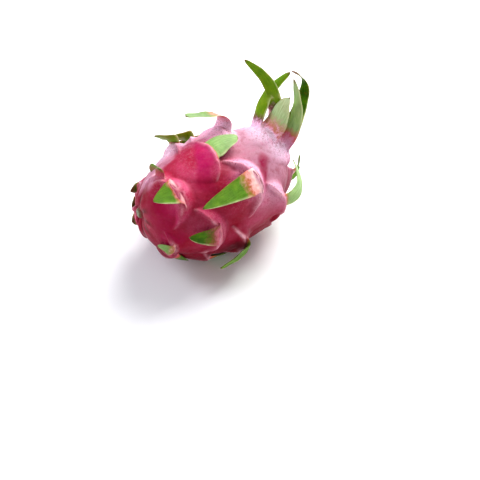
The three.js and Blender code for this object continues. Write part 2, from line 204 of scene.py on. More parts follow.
SEEN_BRACTS = [
    # round the stem
    grow(FOLDED, -44, 262, 9, 13, (10, 165), (12, 14, 3), sway=(-30, -30), blush=0, dry=0.8),
    grow(FOLDED, -38.5, 274, 10, 15, (15, 150), (15, 18, 3.5), sway=(-6, -6), blush=0,
         dry=0.7),
    grow(FOLDED, -50.5, 241, 7, 13, (5, 155), (16, 16, 3), blush=0, dry=0.5, bloom=0.6),
    grow(FOLDED, -43, 351.5, 22, 12, (41, 150), (16, 20, 4), sway=(-24, 43), fold=(0, 0.9),
         blush=8, plum=0.6, tone=0.15, bloom=0, dry=0.5),
    grow(FOLDED, -42.5, 20.5, 24.5, 30, (20, 172), (20, 26, 4), lean=10, sway=(4, -1),
         taper=0.7, swell=4, waist=0.85, blush=9, fade=10, cream=0.7, crack=0.5, dry=0.03),
    # Its deep green tone is partly its own olive colour and partly painted shade.
    grow(FOLDED, -29.5, 82.5, 32, 20, (20, 172), (22, 30, 4), sway=(-12, -21),
         fold=(0, 0.25), curl=8, swell=4, blush=14, fade=30, plum=0.8, cream=0.2, tone=0.1,
         bloom=0),
    grow(FOLDED, -55, 109, 16, 14, (15, 195), (13, 13, 3.5), sway=(0, 35), fold=(0, 0.3),
         blush=4, plum=0.5, bloom=0.3, dry=0.1),
    grow(PLAIN, -52, 136.5, 15, 12, (-3, -14), (14, 16, 3.5), sway=(25, 10), taper=0.6,
         blush=2, fade=8, tone=0.25),
    # along the body
    grow(PLAIN, -2.4, 0.4, 22, 22, (10, 12), (24, 46, 5), lean=12, sway=(-8, 26),
         taper=0.42, blush=0, fade=10, bloom=0.5),
    grow(FOLDED, 8.6, 50, 60, 22, (22, 178), (24, 42, 5), sway=(-4, -3), fold=(0, 0.16),
         curl=8, taper=0.66, sill=15, swell=5.5, dip=0.75, blush=19, fade=24, crack=0.8),
    grow(FOLDED, -10.3, 311.3, 28, 16, (50, 152), (20, 34, 4), sway=(29, 28),
         fold=(0, 0.45), taper=0.5, swell=3, foot=8, blush=2, plum=0, tone=0.85),
    grow(FOLDED, 10.5, 294, 24, 15, (44, 176), (20, 34, 4), sway=(25, 23), fold=(0, 0.4),
         taper=0.45, blush=0, plum=0, tone=0.85, bloom=0),
    grow(FOLDED, 19.2, 340, 43, 27, (40, 167), (20, 40, 4), sway=(-4, -2),
         fold=(0, 0.45), twist=9, taper=0.2, sill=15, swell=1.5, foot=8, waist=0.5,
         blush=19, fade=26, tone=0.2, bloom=0.3),
    grow(FOLDED, 27.5, 88, 47, 12, (22, -62), (20, 40, 5.5), sway=(16, -30), fold=(0, 1),
         twist=32, taper=0.42, swell=3, foot=10, bloom=0.6),
    # the crown
    grow(UPRIGHT, 51, 3.3, 39, 24, (90, 140), (15, 36, 5), sway=(-7, 32), taper=0.85,
         bloom=0.85, blush=8, fade=26, plum=0.3),
    grow(UPRIGHT, 54.5, 33, 56, 13, (108, 147), (13, 36, 5), sway=(-24, -48), bloom=0.5,
         dry=0.08, blush=12, plum=0.4, flush=0.8),
    grow(UPRIGHT, 55, 28.7, 66, 15, (83, 77), (10, 30, 4), sway=(-25, -47), curl=147,
         twist=-8, taper=0.6, tone=0.05, bloom=0, dry=0.22),
    grow(UPRIGHT, 49, 338, 52, 12, (103, 81), (11, 30, 3.5), sway=(4, 45), twist=-20,
         blush=10, fade=14, plum=1, tone=0.75, bloom=0, dry=0.06),
    grow(UPRIGHT, 57, 339.5, 78.5, 13, (141, 201), (9, 30, 3.5), sway=(18, 5.5), twist=-50,
         blush=27, plum=1, tone=0.75, bloom=0),
]
# The rest follow a spiral: x of the first one, step in x, and turn of the first one.
SPIRAL = dict(first=-44, step=4, count=22, start=315)
FAR_SIDE = (103, 275)  # turns between which they grow
UNDERSIDE = (128, 232)  # turns between which they lie flat
SPACING = 21  # least distance between the roots of two bracts
FAR_CROWN = dict(x=56, count=5, first=112, step=43)


def smooth(value):
    """A value held from 0 to 1, with a soft start and end."""
    t = np.clip(value, 0, 1)
    return t * t * (3 - 2 * t)


def ramp(value, start, length):
    """0 up to a start, and smoothly up to 1 over a length."""
    return smooth((value - start) / length)


def mixed(a, b, share):
    """a for a share of 0, and b for a share of 1."""
    return a + (b - a) * share


def column(values):
    """Values made ready to be combined with all points of a ring."""
    return values[..., None]


def draws(seed):
    """Repeatable draws from 0 to 1, as in the part."""
    while True:
        seed = (seed * DRAW_FACTOR + DRAW_STEP) % DRAW_RANGE
        yield seed / DRAW_RANGE


def waves(points, height, wavelength, seed):
    """Smooth unevenness of about a height: plane waves in drawn directions."""
    draw = draws(seed * 7919 + 17)
    total = np.zeros(points.shape[:-1])
    for _ in range(WAVE_COUNT):
        heading, climb = 2 * math.pi * next(draw), 2 * next(draw) - 1
        level = math.sqrt(1 - climb * climb)
        way = np.array([level * math.cos(heading), level * math.sin(heading), climb])
        stretch = 0.7 + 0.6 * next(draw)
        total += np.sin(points @ way * (2 * math.pi / wavelength * stretch) + 7 * next(draw))
    return height * (total / math.sqrt(WAVE_COUNT) * 0.8)


# ---- the skin
# polar: 0 at the stem end, pi at the crown; turn: radians round the axis, 0 on top.
def girth(polar):
    """Radius of the bare skin round the axis."""
    blunt = (BLUNT_STEM + BLUNT_CROWN) / 2 - (BLUNT_CROWN - BLUNT_STEM) / 2 * np.cos(polar)
    return RADIUS * np.maximum(np.sin(polar), 1e-9) ** blunt


def bare_skin(polar, turn):
    """Points of the skin without its relief."""
    along = -HALF_LENGTH * np.cos(polar)
    r = girth(polar)
    bend = (along / HALF_LENGTH) ** 2
    y = np.where(along > 0, BACK_CROWN, BACK_STEM) * bend - r * np.sin(turn)
    z = CENTRE_Z + np.where(along > 0, LIFT_CROWN, LIFT_STEM) * bend + r * np.cos(turn)
    at_stem = STEM_HOLLOW["depth"] * np.exp(-(from_stem(y, z) / STEM_HOLLOW["radius"]) ** 2)
    at_crown = -NAVEL["depth"] * np.exp(-(r / NAVEL["radius"]) ** 2)
    x = along + np.where(along < 0, at_stem, at_crown)
    return np.stack(np.broadcast_arrays(x, y, z), axis=-1)


def from_stem(y, z):
    """How far points are from the middle of the stem's hollow, seen along the axis."""
    return np.hypot(y - BACK_STEM - STEM_HOLLOW["off"], z - CENTRE_Z - LIFT_STEM)


def polar_at(x):
    return math.acos(min(max(-x / HALF_LENGTH, -1), 1))


def skin_place(x, turn):
    """polar and turn of a place given by its x in mm and its turn in degrees."""
    return polar_at(x), math.radians(turn)


def unit(vectors):
    return vectors / np.linalg.norm(vectors, axis=-1, keepdims=True)


def skin_frame(polar, turn):
    """The point, the ways towards the crown and round the axis, and the outward normal."""
    d = 1e-3
    crownward = unit(bare_skin(polar + d, turn) - bare_skin(polar - d, turn))
    around = unit(bare_skin(polar, turn + d) - bare_skin(polar, turn - d))
    return bare_skin(polar, turn), crownward, around, unit(np.cross(around, crownward))


ARC_POLARS = np.linspace(0, math.pi, 401)
ARC_LENGTHS = np.concatenate([[0], np.cumsum(np.hypot(
    np.diff(HALF_LENGTH * np.cos(ARC_POLARS)), np.diff(girth(ARC_POLARS))))])


def arc_to(polar):
    """Length of the skin from the stem end."""
    return np.interp(polar, ARC_POLARS, ARC_LENGTHS)


# ---- the scale bases on the skin
def place_on_base(bract, polar, turn):
    """How far points of the skin are behind a bract's axil, and to its side."""
    root = polar_at(bract["x"])
    apart = np.mod(turn - math.radians(bract["turn"]) + math.pi, 2 * math.pi) - math.pi
    along_skin = arc_to(polar) - arc_to(root)
    across_skin = apart * (girth(polar) + girth(root)) / 2
    lean = math.radians(bract["lean"]) / 2
    along = along_skin * math.cos(lean) + across_skin * math.sin(lean)
    across = -along_skin * math.sin(lean) + across_skin * math.cos(lean)
    return -along - across ** 2 / (AXIL_BOW * bract["base"][0]), across


def scale_base(bract, behind, across):
    """Height of a scale base: a kite with an arched axil, pointed towards the stem."""
    half_width, length, height = bract["base"]
    stem_side = np.clip(1 - behind / length, 0, 1) ** KITE["power"]
    crown_side = 1 - smooth(-behind / bract["sill"])
    level = np.where(behind > 0, stem_side, crown_side) * (1 - hollow_beside(
        bract, behind, across, HOLLOW))
    side = np.clip(1 - (across / base_half_width(bract, behind)) ** 2, 0, 1)
    side = side ** KITE["side_power"]
    ends = np.sqrt(np.clip(1 - (across / half_width) ** 2, 0, 1))
    over = 1 - smooth(np.where(behind > 0, behind / bract["foot"], -behind / bract["sill"]))
    inside = np.clip(1 - (across / (BULGE_WIDTH * bract["width"])) ** 2, 0, 1)
    lip = LIP * np.exp(-(behind / LIP_WIDTH) ** 2) * ends
    return height * (level * side + lip) + bract["swell"] * over * inside


def hollow_beside(bract, behind, across, form):
    """The hollow beside a folded blade, deepest right under the ledge, from 0 to 1."""
    flank = ramp(np.abs(across), form["flank"] * bract["width"], form["blend"])
    fading = np.exp(-np.maximum(behind, 0) / form["reach"])
    return bract["dip"] * flank * smooth(behind / form["start"]) * fading


def base_half_width(bract, behind):
    half_width, length, _ = bract["base"]
    part = np.clip(behind / length, 0, 1) ** KITE["narrowing_power"]
    return half_width * (1 - KITE["narrowing"] * part)


def axil_ridge(bract, behind, across):
    """The pale ridge along the axil, with painted highlight, which runs on past the blade and
    fades out.
    """
    reach = RIDGE["reach"] * bract["base"][0]
    fade = RIDGE["fade"] * reach
    ends = 1 - ramp(np.abs(across), reach - fade, fade)
    return np.exp(-((behind - RIDGE["at"]) / RIDGE["width"]) ** 2) * ends


def axil_groove(bract, behind, across):
    """The groove just past the axil, on the crown's side, sunk and darkened with painted shade.
    """
    inside = np.clip(1 - (across / (GROOVE["reach"] * bract["width"])) ** 2, 0, 1)
    return np.exp(-((behind - GROOVE["at"]) / GROOVE["width"]) ** 2) * inside


def ledge_shadow(bract, behind, across):
    """Painted shadow in the hollow beside a folded blade: how much deeper the colour is there.
    """
    reach = 1 - smooth(np.abs(across) / bract["base"][0])
    return hollow_beside(bract, behind, across, SHADOW) * reach


def open_axil(bract, behind, across):
    """Where the skin may crack open, just under the blade."""
    inside = np.clip(1 - (across / (bract["width"] / 2)) ** 4, 0, 1)
    ends = ramp(behind, *CRACK_END) * ramp(-behind, *CRACK_START)
    return bract["crack"] * inside * ends


def from_ends_and_below(polar, turn):
    """How far places are from the nearest end and from the lowest line, in radians."""
    return np.minimum(polar, math.pi - polar), np.abs(np.mod(turn, 2 * math.pi) - math.pi)


def relief_share(polar, turn, bare):
    """The share of the relief that is left: none at the ends, the stem and the flat spot."""
    from_pole, from_below = from_ends_and_below(polar, turn)
    along_x = np.abs(HALF_LENGTH * np.cos(polar))
    spot = (1 - smooth(from_below / SPOT_TURN)) * (1 - smooth(along_x / SPOT_X))
    clear = smooth(from_stem(bare[..., 1], bare[..., 2]) / STEM_FADE)
    at_stem = np.where(bare[..., 0] < 0, clear, 1)
    return smooth(from_pole / POLE_FADE) * at_stem * (1 - spot)


def skin_fields(bracts, polar, turn, bare):
    """The skin's relief in mm, and its masks from 0 to 1: pale ridges with painted highlight,
    painted shade and crack.
    """
    wander = waves(bare, *RIDGE_WANDER)
    places = [place_on_base(b, polar, turn) for b in bracts]
    heights = [scale_base(b, *place) for b, place in zip(bracts, places)]
    total = sum(h ** RELIEF_POWER for h in heights) ** (1 / RELIEF_POWER)
    pale_and_highlit, groove, shadow, crack = (np.zeros_like(total) for _ in range(4))
    for b, (behind, across), h in zip(bracts, places, heights):
        on_top = (h / (total + 0.05)) ** 3
        pale_and_highlit = np.maximum(pale_and_highlit, axil_ridge(b, behind + wander, across) * on_top)
        groove = np.maximum(groove, axil_groove(b, behind, across))
        shadow = np.maximum(shadow, ledge_shadow(b, behind, across))
        crack = np.maximum(crack, open_axil(b, behind, across))
    # Painted shade where the relief is low, in the grooves and in the hollows beside folded
    # blades.
    low = BARE_SHADE * (1 - smooth(total / BARE_BELOW))
    painted_shade = np.clip(low + GROOVE["shade"] * groove + shadow, 0, 1)
    fine = RIDGE["height"] * pale_and_highlit - GROOVE["depth"] * groove
    share = relief_share(polar, turn, bare)
    return (total + fine) * share, pale_and_highlit * share, painted_shade, crack


def stem_folds(bare):
    """Folds of the skin that run together in the stem's hollow, from -1 to 1."""
    y, z = bare[..., 1], bare[..., 2]
    round_stem = np.arctan2(z - CENTRE_Z - LIFT_STEM, y - BACK_STEM - STEM_HOLLOW["off"])
    away = (from_stem(y, z) - STEM_FOLDS["middle"]) / STEM_FOLDS["reach"]
    reach = np.where(bare[..., 0] < 0, np.exp(-away ** 2), 0)
    return reach * np.sin(STEM_FOLDS["count"] * round_stem + waves(bare, *STEM_FOLDS["waves"]))


def skin_points(bracts, polar, turn):
    """Points of the finished skin with its unevenness, and its masks."""
    bare, _, _, outward = skin_frame(polar, turn)
    height, pale_and_highlit, painted_shade, crack = skin_fields(bracts, polar, turn, bare)
    from_pole, from_below = from_ends_and_below(polar, turn)
    free = smooth(from_pole / CALM_POLE) * ramp(from_below, *CALM_BELOW)
    uneven = sum(waves(bare, *layer) for layer in UNEVENNESS)
    fold = stem_folds(bare)
    height = height + free * (uneven + STEM_FOLDS["height"] * fold)
    # Painted shade in the troughs of the stem's folds.
    painted_shade = np.clip(painted_shade + STEM_FOLDS["shade"] * np.clip(-fold, 0, 1), 0, 1)
    upward = outward[..., 2]
    # Painted shade on skin that faces downward.
    shade_below = UNDER_SHADE * (1 - ramp(upward, *UNDERSIDE_FADE))
    # Paler towards the crown, with painted highlight where the skin faces upward.
    wax = ramp(bare[..., 0], *WAX_ALONG) * ramp(upward, *SHEEN_UPWARD)
    masks = dict(pale_and_highlit=pale_and_highlit * smooth(RIDGE_WHOLE + waves(bare, *RIDGE_GAPS)),
                 painted_shade=np.maximum(painted_shade, shade_below), crack=crack,
                 magenta=patches(bare, MAGENTA_PATCHES),
                 wax=np.maximum(wax, SHEEN_PATCH_SHARE * patches(bare, SHEEN_PATCHES)))
    return bare + outward * column(height), masks


def patches(bare, lines):
    """Patches round lines on the skin, from 0 to 1, with soft and uneven edges."""
    found = np.zeros(bare.shape[:-1])
    uneven = waves(bare, *PATCH_WAVES)
    for first, last, reach in lines:
        start, end = bare_skin(*skin_place(*first)), bare_skin(*skin_place(*last))
        way = end - start
        share = np.clip((bare - start) @ way / (way @ way), 0, 1)
        away = np.linalg.norm(bare - start - column(share) * way, axis=-1) / reach + uneven
        found = np.maximum(found, 1 - ramp(away, *PATCH_FADE))
    return found


# ---- masks carried by every vertex, four to a colour attribute
# green: bract, not skin. cream: its inner side. pale_and_highlit: ridge of an axil and lips of a
# crack, pale and with painted highlight. painted_shade: painted shade in hollows, grooves, stem
# folds and on the underside. magenta: a zone of the skin. wax: skin paler towards the crown,
# with painted highlight where it faces upward and patches of painted reflection. rim, edge: a
# bract's two margins. wood: stub and scar. across, along: the place on a bract in mm. The rest
# are named as its values are, and all but the place are from 0 to 1.
MASK_LAYERS = {
    "masks_a": ("green", "cream", "pale_and_highlit", "painted_shade"),
    "masks_b": ("magenta", "dry", "tone", "bloom"),
    "masks_c": ("rim", "edge", "wood", "crack"),
    "masks_d": ("wax", "plum", "across", "along"),
}
MASKS = [name for names in MASK_LAYERS.values() for name in names]


def mask_table(shape, **values):
    """One row for each vertex and one column for each mask; those not given are 0."""
    table = np.zeros((math.prod(shape), len(MASKS)))
    for name, value in values.items():
        table[:, MASKS.index(name)] = np.broadcast_to(value, shape).ravel()
    return table


def grid_faces(rows, columns, flip=False):
    """Quads of a grid that closes round its columns, with a fan at each end.

    The two end points come after the grid's own points. flip turns the faces over."""
    here = np.arange(columns)
    after = (here + 1) % columns
    row = np.arange(rows - 1)[:, None] * columns
    quads = np.stack([row + here, row + columns + here, row + columns + after, row + after], -1)
    quads = quads.reshape(-1, 4)
    last_row, ends = (rows - 1) * columns, rows * columns
    start_fan = np.stack([0 * here + ends, here, after], -1)
    end_fan = np.stack([0 * here + ends + 1, last_row + after, last_row + here], -1)
    faces = quads.tolist() + start_fan.tolist() + end_fan.tolist()
    return [face[::-1] for face in faces] if flip else faces


def skin_surface(bracts):
    """Vertices, faces and masks of the skin, as one closed surface."""
    polars = np.linspace(0, math.pi, SKIN_RINGS + 1)[1:-1]
    turns = np.linspace(0, 2 * math.pi, SKIN_COLUMNS, endpoint=False)
    polar, turn = np.meshgrid(polars, turns, indexing="ij")
    points, masks = skin_points(bracts, polar, turn)
    ends = bare_skin(np.array([1e-4, math.pi - 1e-4]), np.zeros(2))
    vertices = np.vstack([points.reshape(-1, 3), ends])
    table = mask_table((len(vertices),), **{
        name: np.append(mask, [0, 0]) for name, mask in masks.items()})
    return vertices, grid_faces(len(polars), SKIN_COLUMNS, flip=True), table


# ---- the bracts
def blade_ways(bract, frame, distance):
    """Directions along, across and out of the back of a blade at distances from its axil."""
    _, crownward, around, outward = frame
    distance = np.asarray(distance, float)[:, None]
    part = np.clip(distance / bract["length"], 0, 1)
    lean = math.radians(bract["lean"])
    ahead = crownward * math.cos(lean) + around * math.sin(lean)
    sideways = -crownward * math.sin(lean) + around * math.cos(lean)
    fold_from, fold_to = bract["fold"]
    bent = ramp(part, fold_from, fold_to - fold_from)
    heading = mixed(*bract["rise"], bent) + bract["curl"] * ramp(part, *CURL)
    sway = mixed(*bract["sway"], smooth(part))
    sunk = np.minimum(distance, 0) / ROOT
    heading = np.where(distance < 0, bract["rise"][0] - sunk * ROOT_DIVE, heading)
    h, s = np.radians(heading), np.radians(sway * (1 + sunk))
    flat = ahead * np.cos(h) + outward * np.sin(h)
    tangent = flat * np.cos(s) + sideways * np.sin(s)
    across = -flat * np.sin(s) + sideways * np.cos(s)
    back = -ahead * np.sin(h) + outward * np.cos(h)
    twist = math.radians(bract["twist"]) * smooth(1.6 * part)
    return (tangent, across * np.cos(twist) + back * np.sin(twist),
            back * np.cos(twist) - across * np.sin(twist))


def blade_spine(bract, frame, distances):
    """Points of the blade's middle line, from the sunk end."""
    steps = 8
    parts = (np.arange(steps) + 0.5) / steps
    gaps = np.diff(distances)
    middles = (distances[:-1, None] + gaps[:, None] * parts).ravel()
    tangents = blade_ways(bract, frame, middles)[0].reshape(len(gaps), steps, 3)
    moves = tangents.sum(axis=1) * gaps[:, None] / steps
    return np.vstack([np.zeros(3), np.cumsum(moves, axis=0)])


def blade_sizes(bract, distances):
    """Half the width and the thickness of a blade at distances from its axil."""
    part = np.clip(distances / bract["length"], 0, 1)
    sunk = np.minimum(distances, 0) / ROOT
    taper = (1 - part ** TIP_POWER) ** bract["taper"] * (1 + SUNK_NARROWING * sunk)
    taper = taper * mixed(1, bract["waist"], smooth(part / WAIST_AT))
    half_width = np.maximum(bract["width"] / 2 * taper, LEAST_HALF_WIDTH)
    thinned = 1 - THINNING["quick"] * smooth(THINNING["by"] * part)
    thickness = BASE_THICKNESS * thinned * (1 - THINNING["slow"] * part)
    return half_width, np.maximum(thickness, LEAST_THICKNESS)


def blade_section(bract, number, distances, side, face):
    """How far points are off a blade's middle line and out of its back, ring by ring."""
    half_width, thickness = blade_sizes(bract, distances)
    part = np.clip(distances / bract["length"], 0, 1)
    wave = EDGE_WAVE["height"] * np.sin(
        2 * math.pi * column(distances) / EDGE_WAVE["length"]
        + EDGE_WAVE["shift"] * number + EDGE_WAVE["slant"] * side)
    cup = -CUP * column(smooth(3 * part) * half_width) * side ** 2
    crease = -CREASE_DEPTH * np.exp(-(side / CREASE_WIDTH) ** 2) * column(
        smooth(3 * part) * (1 - part))
    out = column(thickness / 2) * face + cup + crease
    out = out + wave * side ** 2 * column(smooth(2 * part) * np.sqrt(half_width / 12))
    return column(half_width) * side, out


def blade_surface(bract, number):
    """Vertices, faces and masks of one bract, as a closed surface."""
    frame = skin_frame(*skin_place(bract["x"], bract["turn"]))
    point, crownward, _, outward = frame
    rings = np.linspace(0, 1, BLADE_RINGS + 1) ** RING_CROWDING
    distances = -ROOT + (bract["length"] + ROOT) * rings
    to_axil = blade_spine(bract, frame, np.array([-ROOT, 0]))[1]
    axil = point + outward * (bract["base"][2] - BASE_THICKNESS / 2)
    middle = blade_spine(bract, frame, distances) - to_axil + axil
    _, across, back = blade_ways(bract, frame, distances)
    angles = np.linspace(0, 2 * math.pi, BLADE_SIDES, endpoint=False)
    side, face = np.cos(angles), np.sin(angles)
    off, out = blade_section(bract, number, distances, side, face)
    points = middle[:, None] + across[:, None] * column(off) + back[:, None] * column(out)
    points += root_shift(bract, column(distances), off, crownward, outward)
    ends = [points[0].mean(axis=0), points[-1].mean(axis=0)]
    vertices = np.vstack([points.reshape(-1, 3), ends])
    masks = blade_masks(bract, number, column(distances), side, off, face)
    masks = np.vstack([masks, masks[:1], masks[-1:]])
    return vertices, grid_faces(len(distances), BLADE_SIDES), masks


def root_shift(bract, distance, off, crownward, outward):
    """Bends a blade's root so that it follows the arch of its scale base."""
    half_width, _, height = bract["base"]
    reach = min(ROOT_REACH, bract["length"] / 2)
    share = 1 - smooth(np.maximum(distance, 0) / reach)
    edge = 1 - np.clip(1 - (off / half_width) ** 2, 0, 1) ** KITE["side_power"]
    drop = share * (off ** 2 / (2 * girth(polar_at(bract["x"]))) + height * edge)
    slide = share * off ** 2 / (AXIL_BOW * half_width)
    return -outward * column(drop) - crownward * column(slide)


def blade_masks(bract, number, distance, side, off, face):
    """The masks of a blade's vertices, ring by ring. Its inner face has face below 0."""
    part = np.clip(distance / bract["length"], 0, 1)
    green = np.clip(0.5 + (distance - bract["blush"]) / bract["fade"], 0, 1)
    inner = smooth(INNER_FACE - 1.5 * face)
    cream = bract["cream"] * inner * smooth(distance / 3 + 0.6)
    dry = smooth((part - 1 + bract["dry"]) / max(bract["dry"], 0.05) * 1.2)
    bloom = np.clip(bract["bloom"] * (0.6 + 0.7 * part), 0, 1)
    margin = ramp(np.abs(side), *MARGIN)
    crack = bract["crack"] * inner * smooth((4 - distance) / 2) * (1 - side ** 4)
    return mask_table(
        off.shape, green=green, cream=cream, dry=dry, rim=margin * (side < 0),
        edge=margin * (side > 0), tone=bract["tone"], bloom=bloom, crack=crack,
        plum=bract["plum"], across=off + STREAK_SHIFT * number, along=distance,
        magenta=bract["flush"], wax=ramp(bract["x"], *WAX_ALONG))


# ---- bracts on the far side and underneath, on the same spiral
def spiral_bract(x, turn, draw):
    """A bract of the spiral: smaller near the stem, flat underneath."""
    small = 1 - 0.5 * max(0, -x / HALF_LENGTH) ** 1.5
    drawn = [next(draw) for _ in range(5)]
    if UNDERSIDE[0] < turn < UNDERSIDE[1]:
        return grow(PLAIN, x, turn, 26 * small, 18 * small, (2, -8),
                    (20 * small, 34 * small, 4))
    return grow(
        FOLDED, x, turn, mixed(30, 42, drawn[0]) * small, mixed(18, 22, drawn[1]) * small,
        (25, mixed(160, 174, drawn[3])), (21 * small, 38 * small, 4.2),
        lean=mixed(-10, 10, drawn[2]), fold=(0, mixed(0.2, 0.4, drawn[4])), curl=8, swell=3,
        taper=0.55)


def on_spot(bract):
    near_x = abs(bract["x"]) < SPOT_X
    return near_x and abs(math.radians(bract["turn"] - 180)) < SPOT_TURN


def root_distance(one, other):
    """How far the roots of two bracts are apart, in mm."""
    roots = [bare_skin(*skin_place(b["x"], b["turn"])) for b in (one, other)]
    return np.linalg.norm(roots[0] - roots[1])


def spiral_bracts(taken, draw):
    """The spiral's bracts that are out of view and keep clear of the others."""
    found = []
    for k in range(SPIRAL["count"]):
        x = SPIRAL["first"] + SPIRAL["step"] * k
        turn = (SPIRAL["start"] + GOLDEN_ANGLE * k) % 360
        new = spiral_bract(x, turn, draw)
        near = any(root_distance(other, new) < SPACING for other in taken + found)
        if FAR_SIDE[0] < turn < FAR_SIDE[1] and not near and not on_spot(new):
            found.append(new)
    return found


def crown_bracts(draw):
    """The crown's lower bracts, which are shorter and lean over the navel."""
    found = []
    for k in range(FAR_CROWN["count"]):
        length, sway, first, last = (next(draw) for _ in range(4))
        found.append(grow(
            UPRIGHT, FAR_CROWN["x"] - 2 * (k % 2), FAR_CROWN["first"] + FAR_CROWN["step"] * k,
            mixed(18, 26, length), 12, (mixed(70, 78, first), mixed(14, 38, last)),
            (12, 30, 4), sway=(0, mixed(-14, 14, sway))))
    return found


def all_bracts():
    draw = draws(SEED)
    found = SEEN_BRACTS + crown_bracts(draw)
    return found + spiral_bracts(found, draw)


# ---- the stem stub and the scar of the flower
LOBE_HEIGHT = 0.07  # share of the radius


def end_frame(outwards):
    """The middle of the hollow at an end of the fruit, two ways across it and outwards."""
    if outwards > 0:
        return skin_frame(math.pi - 1e-3, 0)
    polar = math.asin((STEM_HOLLOW["off"] / RADIUS) ** (1 / BLUNT_STEM))
    return skin_frame(polar, math.radians(270))


def end_surface(profile, sizes, outwards, lobes):
    """A turned piece in the hollow at an end of the fruit, slightly lobed."""
    angles = np.linspace(0, 2 * math.pi, END_SIDES, endpoint=False)
    radii, heights = np.array(profile).T[:, :, None] + 0 * angles
    radii = radii * (1 + LOBE_HEIGHT * np.cos(lobes * angles))
    floor, first, second, outward = end_frame(outwards)
    start = floor - outward * sizes["length"] * sizes["sunk"]
    points = (start + outward * column(heights) + first * column(radii * np.sin(angles))
              + second * column(radii * np.cos(angles)))
    ends = np.array([points[0].mean(axis=0), points[-1].mean(axis=0)])
    vertices = np.vstack([points.reshape(-1, 3), ends])
    along = np.append(heights, [0, sizes["length"]])
    masks = mask_table((len(vertices),), wood=1, along=along)
    return vertices, grid_faces(len(profile), END_SIDES, flip=outwards < 0), masks


def stub_surface():
    """The stub of the stem, flared where it leaves the fruit, with a dished cut face."""
    r, length, flare = STUB["radius"], STUB["length"], STUB["flare"]
    profile = [(r + flare, 0), (r + 0.4 * flare, 0.18 * length), (r, 0.35 * length),
               (r * 0.97, 0.6 * length), (r * 0.94, 0.85 * length), (r * 0.9, 0.95 * length),
               (r * 0.8, length), (r * 0.5, length - 0.5), (r * 0.2, length - 0.6)]
    return end_surface(profile, STUB, -1, 3)


def scar_surface():
    """The scar of the flower: a low ring with a raised rim."""
    r, rim, length = SCAR["radius"], SCAR["rim"], SCAR["length"]
    profile = [(r + rim, 0), (r, 0.6 * length), (r - 0.5 * rim, 0.95 * length),
               (r - rim, length), (r - 1.6 * rim, 0.9 * length), (r - 2 * rim, 0.8 * length),
               (0.5 * rim, 0.7 * length)]
    return end_surface(profile, SCAR, 1, 5)


# ---- joining everything into one surface
GROUND = 400  # side of the block that cuts the flat spot
SEAM_RINGS = 4  # rings of vertices evened out on each side of a seam
SEAM_PASSES = 10
SEAM_SHARE = 0.5  # how far each pass goes
ON_SEAM = 0.01  # a vertex this many mm from its source is on a seam
CRACK_LIPS = 2  # rings of vertices
CRACK_DEPTH, CRACK_LIP_HEIGHT = 0.5, 0.15
SEAM_KEEP, LIP_KEEP = 0.75, 0.8  # what each further ring keeps


def add_object(name, data):
    """A new object, in the scene."""
    added = bpy.data.objects.new(name, data)
    bpy.context.scene.collection.objects.link(added)
    return added


def mesh_object(name, vertices, faces):
    mesh = bpy.data.meshes.new(name)
    mesh.from_pydata((vertices * MM).tolist(), [], faces)
    return add_object(name, mesh)


def combine(piece, operation, others):
    """Joins or cuts a piece with others, which are used up."""
    folder = bpy.data.collections.new("operands")
    for other in others:
        folder.objects.link(other)
    modifier = piece.modifiers.new("combine", "BOOLEAN")
    modifier.operation = operation
    modifier.operand_type = "COLLECTION"
    modifier.collection = folder
    modifier.solver = "MANIFOLD"
    graph = bpy.context.evaluated_depsgraph_get()
    result = bpy.data.meshes.new_from_object(piece.evaluated_get(graph), depsgraph=graph)
    piece.modifiers.clear()
    old = piece.data
    piece.data = result
    bpy.data.meshes.remove(old)
    for other in others:
        bpy.data.meshes.remove(other.data)
    bpy.data.collections.remove(folder)


def ground_block():
    half = GROUND / 2
    corners = [(x, y, z) for z in (-GROUND, 0) for y in (-half, half) for x in (-half, half)]
    faces = [(0, 2, 3, 1), (4, 5, 7, 6), (0, 1, 5, 4), (2, 6, 7, 3), (0, 4, 6, 2), (1, 3, 7, 5)]
    return mesh_object("ground", np.array(corners, float), faces)


def rows_of(elements, name, width, kind=float):
    """A property of all vertices or edges, with a row for each."""
    values = np.empty(len(elements) * width, kind)
    elements.foreach_get(name, values)
    return values.reshape(-1, width)


def mesh_points(mesh):
    return rows_of(mesh.vertices, "co", 3) / MM


def move_points(mesh, points):
    """Moves a mesh's vertices to points in mm."""
    mesh.vertices.foreach_set("co", (points * MM).ravel())
    mesh.update()


def neighbour_mean(values, edges, counts):
    total = np.zeros_like(values)
    np.add.at(total, edges[:, 0], values[edges[:, 1]])
    np.add.at(total, edges[:, 1], values[edges[:, 0]])
    return total / counts


def nearest_masks(points, vertices, masks):
    """The masks of the nearest source vertex, and how far away it is."""
    tree = KDTree(len(vertices))
    for i, vertex in enumerate(vertices):
        tree.insert(vertex, i)
    tree.balance()
    found = [tree.find(point) for point in points]
    return masks[[i for _, i, _ in found]], np.array([away for _, _, away in found])


def even_out_seams(points, masks, on_seam, edges):
    """Rounds the creases where bracts leave the skin, and blends the masks there."""
    counts = np.bincount(edges.ravel(), minlength=len(points))[:, None].astype(float)
    weight = SEAM_SHARE * column(widened(on_seam.astype(float), edges, SEAM_RINGS, SEAM_KEEP))
    for _ in range(SEAM_PASSES):
        points = mixed(points, neighbour_mean(points, edges, counts), weight)
        masks = mixed(masks, neighbour_mean(masks, edges, counts), weight)
    return points, masks


def widened(values, edges, rings, keep):
    """Spreads high values over rings of neighbours, which keep a share of them."""
    for _ in range(rings):
        near = values.copy()
        np.maximum.at(near, edges[:, 0], keep * values[edges[:, 1]])
        np.maximum.at(near, edges[:, 1], keep * values[edges[:, 0]])
        values = near
    return values


